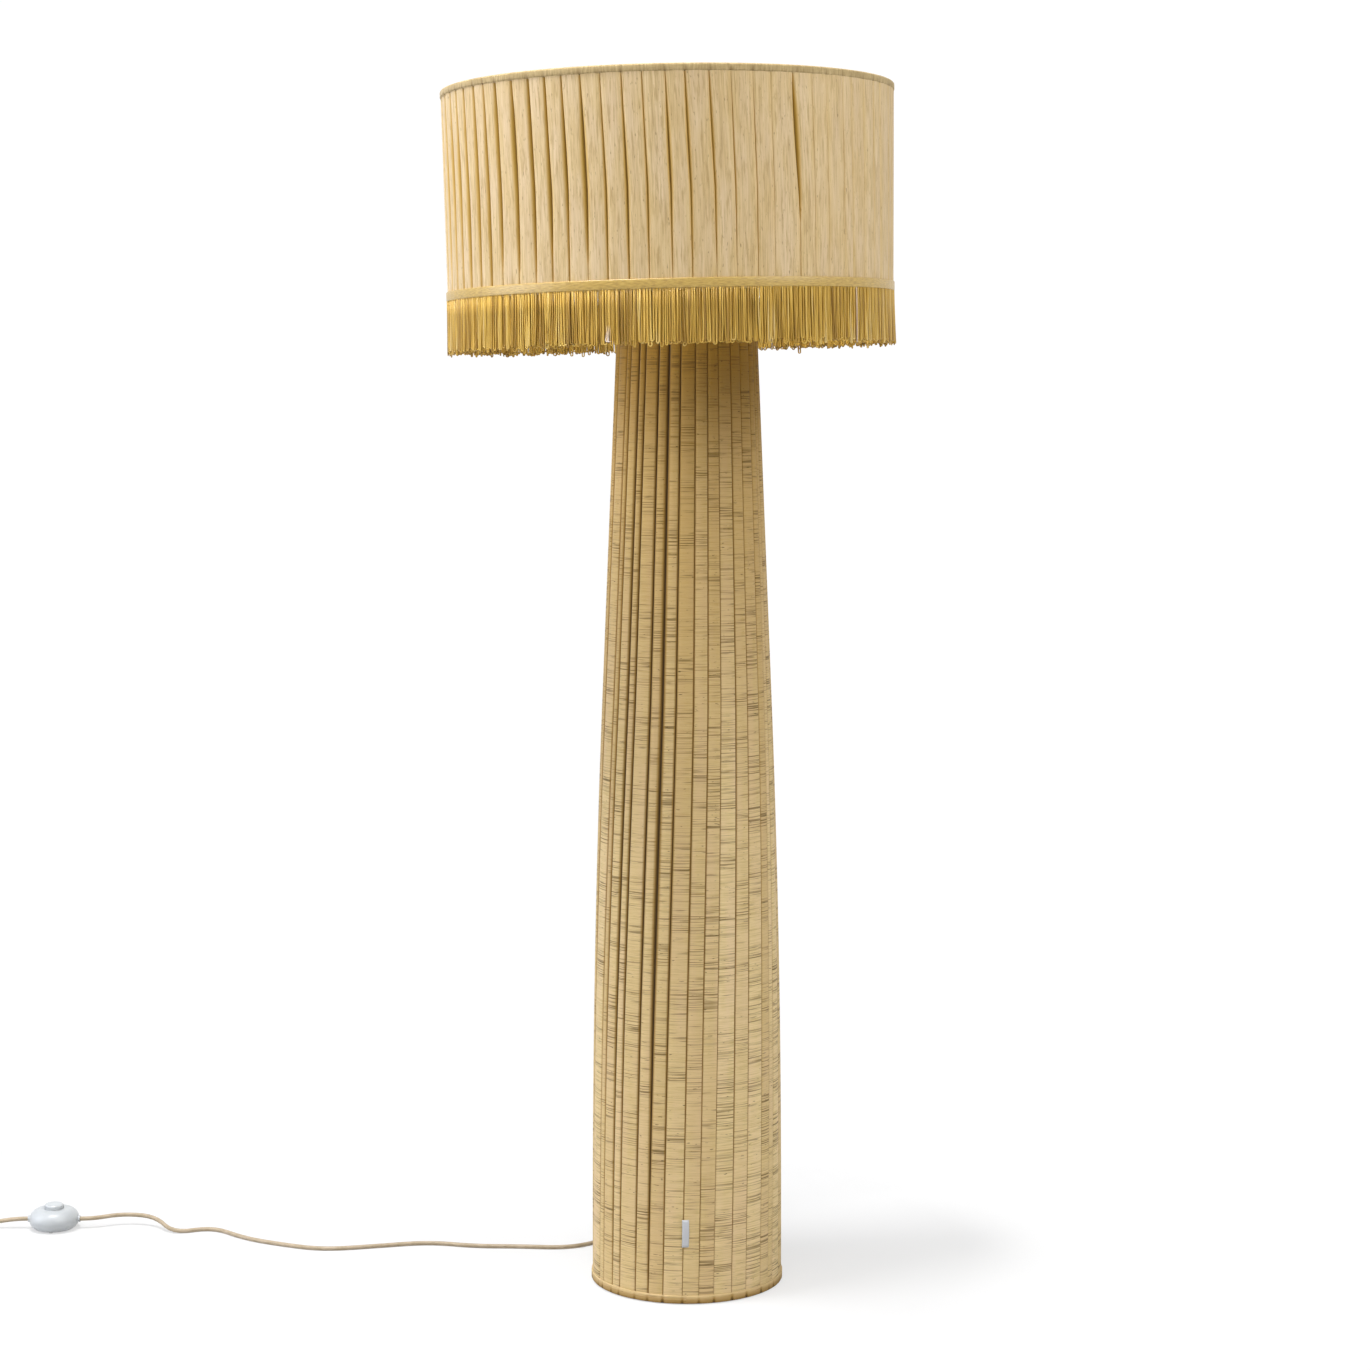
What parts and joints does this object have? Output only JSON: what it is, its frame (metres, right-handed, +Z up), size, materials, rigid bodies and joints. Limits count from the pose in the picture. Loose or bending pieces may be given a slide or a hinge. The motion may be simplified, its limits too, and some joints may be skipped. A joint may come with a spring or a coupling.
{
  "type": "floor lamp",
  "caption": "Floor lamp with a tall tapering column in pleated cloth, a wide pleated drum shade with a fringe, and a beige lead with an in-line foot switch.",
  "frame": {"origin": "the middle of the base's underside, on the floor", "axes": "+Z up along the column, -Y towards the front with the ribbon tab, +X to the right as seen from the front"},
  "size_m": [1.2946, 0.6086, 1.4531],
  "materials": {
    "felt": "matt felt",
    "cast_iron": "dark painted casting",
    "steel": "zinc plated",
    "painted_steel": "white gloss paint",
    "brass": "bright",
    "white_plastic": "smooth white",
    "ceramic": "glazed",
    "black_plastic": "moulded black",
    "opal_glass": "opal, frosted",
    "filament": "dull wire",
    "aluminium": "bright",
    "shade_cloth": "pleated slubbed cloth, cream tan",
    "column_cloth": "pleated slubbed cloth, tan with brown slubs",
    "styrene": "thin laminated backing",
    "trim_braid": "satin braid, gold ochre",
    "fringe_yarn": "gold ochre yarn",
    "ribbon": "blank woven ribbon, grey white",
    "cord_cover": "beige cord sheath",
    "switch_plastic": "smooth cool white",
    "rubber": "matt"
  },
  "bodies": {
    "lamp_frame": {"foot_pad": "felt", "base_weight": "cast_iron", "base_washer": "steel", "base_nut": "steel", "stem_stud": "steel", "stem_foot": "painted_steel", "stem_lower": "painted_steel", "stem_coupler": "painted_steel", "stem_upper": "painted_steel", "stem_end_bush": "brass", "stem_nipple": "brass", "lampholder_cap": "white_plastic", "lampholder_skirt": "white_plastic", "lampholder_core": "ceramic", "lampholder_screw_shell": "brass", "lampholder_contact": "brass", "shade_ring_nut": "white_plastic", "sleeve_spider": "steel", "sleeve_foot_ring": "painted_steel", "sleeve_top_ring": "painted_steel", "sleeve_ribs": "painted_steel", "sleeve_liner": "styrene", "column_cover": "column_cloth", "column_hem": "column_cloth", "column_top_binding": "column_cloth", "ribbon_tab": "ribbon", "column_strain_relief": "cord_cover", "inner_lead": "cord_cover", "switch_base_shell": "switch_plastic", "switch_housing": "switch_plastic", "switch_rubber_foot": "rubber", "switch_contact_block": "black_plastic", "switch_terminals": "brass", "switch_screws": "steel", "switch_spring": "steel", "switch_grommets": "switch_plastic", "lamp_cord": "cord_cover", "plug_cord": "cord_cover", "cord_coil": "cord_cover", "cord_tie": "black_plastic", "plug_strain_relief": "cord_cover", "plug_body": "cord_cover", "plug_pins": "brass"},
    "shade": {"shade_carrier": "painted_steel", "shade_top_ring": "painted_steel", "shade_foot_ring": "painted_steel", "shade_struts": "painted_steel", "shade_liner": "styrene", "shade_cover": "shade_cloth", "shade_top_binding": "shade_cloth", "shade_trim": "trim_braid", "shade_fringe": "fringe_yarn"},
    "bulb": {"bulb_tip": "brass", "bulb_insulator": "black_plastic", "bulb_cap": "aluminium", "bulb_glass": "opal_glass", "bulb_mount": "opal_glass", "bulb_filament": "filament"},
    "button": {"switch_button": "switch_plastic"}
  },
  "joints": [
    {"name": "shade_turn", "type": "hinge", "parent": "lamp_frame", "child": "shade", "pos_m": [-0.0204, 0, 1.24883], "axis": [-0.0166, 0, 0.9999], "continuous": true},
    {"name": "bulb_out", "type": "slide", "parent": "lamp_frame", "child": "bulb", "axis": [-0.0166, 0, 0.9999], "range_m": [0, 0.03]},
    {"name": "switch_press", "type": "slide", "parent": "lamp_frame", "child": "button", "axis": [0, 0, -1], "range_m": [0, 0.003], "stiffness_N_per_m": 1500, "springref_m": -0.001, "deforming": ["switch_spring"]}
  ]
}
